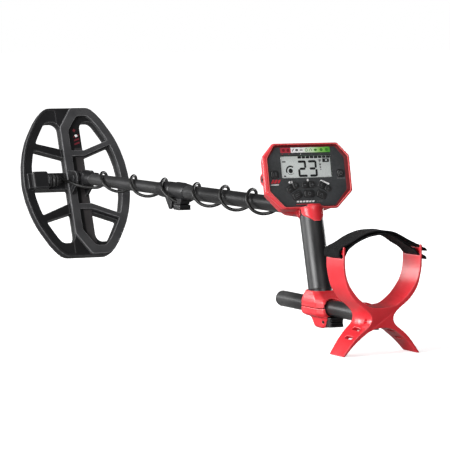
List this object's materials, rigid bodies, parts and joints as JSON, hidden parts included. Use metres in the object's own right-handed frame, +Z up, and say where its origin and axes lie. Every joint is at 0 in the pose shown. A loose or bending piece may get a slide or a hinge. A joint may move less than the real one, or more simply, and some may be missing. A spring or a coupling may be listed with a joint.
{
  "type": "metal detector",
  "caption": "Handheld metal detector with an octagonal display pod, telescoping shaft, tilting double-D search coil with wound cable, and a forked arm support with strap.",
  "frame": {"origin": "middle of the overall length on the symmetry plane, at the level of the arm support's feet", "axes": "+Y along the shaft to the coil, +Z up, +X to the user's right, X = 0 is the plane of the shaft and grip"},
  "size_m": [0.192, 1.121, 0.3007],
  "materials": {
    "red_plastic": "satin moulded, fine grain",
    "black_plastic": "satin moulded, fine grain",
    "coil_plastic": "dark charcoal satin moulded",
    "skid_plastic": "black matte wear plate",
    "shaft_tube": "black satin anodised",
    "lower_shaft_tube": "black fibre-reinforced, satin",
    "grip_foam": "smooth matte foam",
    "rubber": "matte",
    "cable_jacket": "glossy jacket",
    "panel_overlay": "fine-textured overlay with printed strip",
    "key_caps": "satin with small symbols",
    "lcd": "reflective display with dark segments",
    "lcd_cover": "clear",
    "circuit_board": "solder mask",
    "copper_winding": "enamelled wire",
    "cell_jacket": "printed jacket",
    "steel": "bright",
    "strap_webbing": "woven hook-and-loop webbing"
  },
  "bodies": {
    "upper_shaft": {"upper_tube": "shaft_tube", "grip_sleeve": "grip_foam", "shaft_lock_collar": "black_plastic", "shaft_lock_pin": "steel", "upper_cable": "cable_jacket", "pod_bezel": "red_plastic", "face_panel": "panel_overlay", "lcd_lens": "lcd_cover", "lcd_module": "lcd", "main_board": "circuit_board", "pod_rear_housing": "red_plastic", "saddle_clamp": "red_plastic", "face_gasket": "rubber", "battery_tray": "black_plastic", "battery_1": "cell_jacket", "battery_2": "cell_jacket", "battery_3": "cell_jacket", "battery_4": "cell_jacket", "speaker": "black_plastic", "headphone_socket": "black_plastic", "pod_screw_1": "steel", "pod_screw_2": "steel", "pod_screw_3": "steel", "pod_screw_4": "steel", "clamp_body": "red_plastic", "clamp_cap": "red_plastic", "clamp_lever_pin": "steel"},
    "lower_shaft": {"lower_tube": "lower_shaft_tube", "shaft_bush": "black_plastic", "coil_yoke": "black_plastic", "lower_cable": "cable_jacket"},
    "coil": {"coil_shell": "coil_plastic", "coil_skid_plate": "skid_plastic", "tx_winding": "copper_winding", "rx_winding": "copper_winding", "cable_gland": "rubber", "hinge_washer_left": "rubber", "hinge_washer_right": "rubber", "coil_bolt": "black_plastic"},
    "coil_knob": {"coil_knob": "black_plastic"},
    "shaft_lock_lever": {"shaft_lock_lever": "black_plastic"},
    "arm_support": {"arm_tube": "shaft_tube", "arm_tube_cap": "black_plastic", "armrest": "red_plastic", "armrest_screw": "steel", "arm_strap": "strap_webbing"},
    "clamp_lever": {"clamp_lever": "black_plastic"},
    "battery_door": {"battery_door": "red_plastic"},
    "key_left": {"key_left": "key_caps"},
    "key_right": {"key_right": "key_caps"},
    "key_volume_down": {"key_volume_down": "key_caps"},
    "key_volume_up": {"key_volume_up": "key_caps"},
    "key_minus": {"key_minus": "key_caps"},
    "key_plus": {"key_plus": "key_caps"},
    "key_mode_left": {"key_mode_left": "key_caps"},
    "key_mode_right": {"key_mode_right": "key_caps"},
    "key_lower_left": {"key_lower_left": "key_caps"},
    "key_lower_mid": {"key_lower_mid": "key_caps"},
    "key_lower_right": {"key_lower_right": "key_caps"}
  },
  "joints": [
    {"name": "lower_shaft_slide", "type": "slide", "parent": "upper_shaft", "child": "lower_shaft", "axis": [0, 1, 0], "range_m": [-0.23, 0.1], "deforming": ["lower_cable"]},
    {"name": "coil_tilt", "type": "hinge", "parent": "lower_shaft", "child": "coil", "pos_m": [0, 0.47103, 0.1843], "axis": [1, 0, 0], "range_deg": [-64, 90]},
    {"name": "coil_knob_turn", "type": "hinge", "parent": "coil", "child": "coil_knob", "pos_m": [0.022, 0.47103, 0.1843], "axis": [1, 0, 0], "continuous": true},
    {"name": "shaft_lock_turn", "type": "hinge", "parent": "upper_shaft", "child": "shaft_lock_lever", "pos_m": [0, 0.10353, 0.1633], "axis": [1, 0, 0], "range_deg": [0, 95]},
    {"name": "arm_slide", "type": "slide", "parent": "upper_shaft", "child": "arm_support", "axis": [0, 1, 0], "range_m": [-0.08, 0.045]},
    {"name": "clamp_lever_turn", "type": "hinge", "parent": "upper_shaft", "child": "clamp_lever", "pos_m": [0, -0.41047, 0.0301], "axis": [1, 0, 0], "range_deg": [0, 90]},
    {"name": "battery_door_turn", "type": "hinge", "parent": "upper_shaft", "child": "battery_door", "pos_m": [0, -0.28882, 0.25087], "axis": [1, 0, 0], "range_deg": [0, 95]},
    {"name": "key_left_press", "type": "slide", "parent": "upper_shaft", "child": "key_left", "axis": [0, 0.9778, -0.2096], "range_m": [0, 0.001], "stiffness_N_per_m": 100},
    {"name": "key_right_press", "type": "slide", "parent": "upper_shaft", "child": "key_right", "axis": [0, 0.9778, -0.2096], "range_m": [0, 0.001], "stiffness_N_per_m": 100},
    {"name": "key_volume_down_press", "type": "slide", "parent": "upper_shaft", "child": "key_volume_down", "axis": [0, 0.9778, -0.2096], "range_m": [0, 0.001], "stiffness_N_per_m": 100},
    {"name": "key_volume_up_press", "type": "slide", "parent": "upper_shaft", "child": "key_volume_up", "axis": [0, 0.9778, -0.2096], "range_m": [0, 0.001], "stiffness_N_per_m": 100},
    {"name": "key_minus_press", "type": "slide", "parent": "upper_shaft", "child": "key_minus", "axis": [0, 0.9778, -0.2096], "range_m": [0, 0.001], "stiffness_N_per_m": 100},
    {"name": "key_plus_press", "type": "slide", "parent": "upper_shaft", "child": "key_plus", "axis": [0, 0.9778, -0.2096], "range_m": [0, 0.001], "stiffness_N_per_m": 100},
    {"name": "key_mode_left_press", "type": "slide", "parent": "upper_shaft", "child": "key_mode_left", "axis": [0, 0.9778, -0.2096], "range_m": [0, 0.001], "stiffness_N_per_m": 100},
    {"name": "key_mode_right_press", "type": "slide", "parent": "upper_shaft", "child": "key_mode_right", "axis": [0, 0.9778, -0.2096], "range_m": [0, 0.001], "stiffness_N_per_m": 100},
    {"name": "key_lower_left_press", "type": "slide", "parent": "upper_shaft", "child": "key_lower_left", "axis": [0, 0.9778, -0.2096], "range_m": [0, 0.001], "stiffness_N_per_m": 100},
    {"name": "key_lower_mid_press", "type": "slide", "parent": "upper_shaft", "child": "key_lower_mid", "axis": [0, 0.9778, -0.2096], "range_m": [0, 0.001], "stiffness_N_per_m": 100},
    {"name": "key_lower_right_press", "type": "slide", "parent": "upper_shaft", "child": "key_lower_right", "axis": [0, 0.9778, -0.2096], "range_m": [0, 0.001], "stiffness_N_per_m": 100}
  ]
}
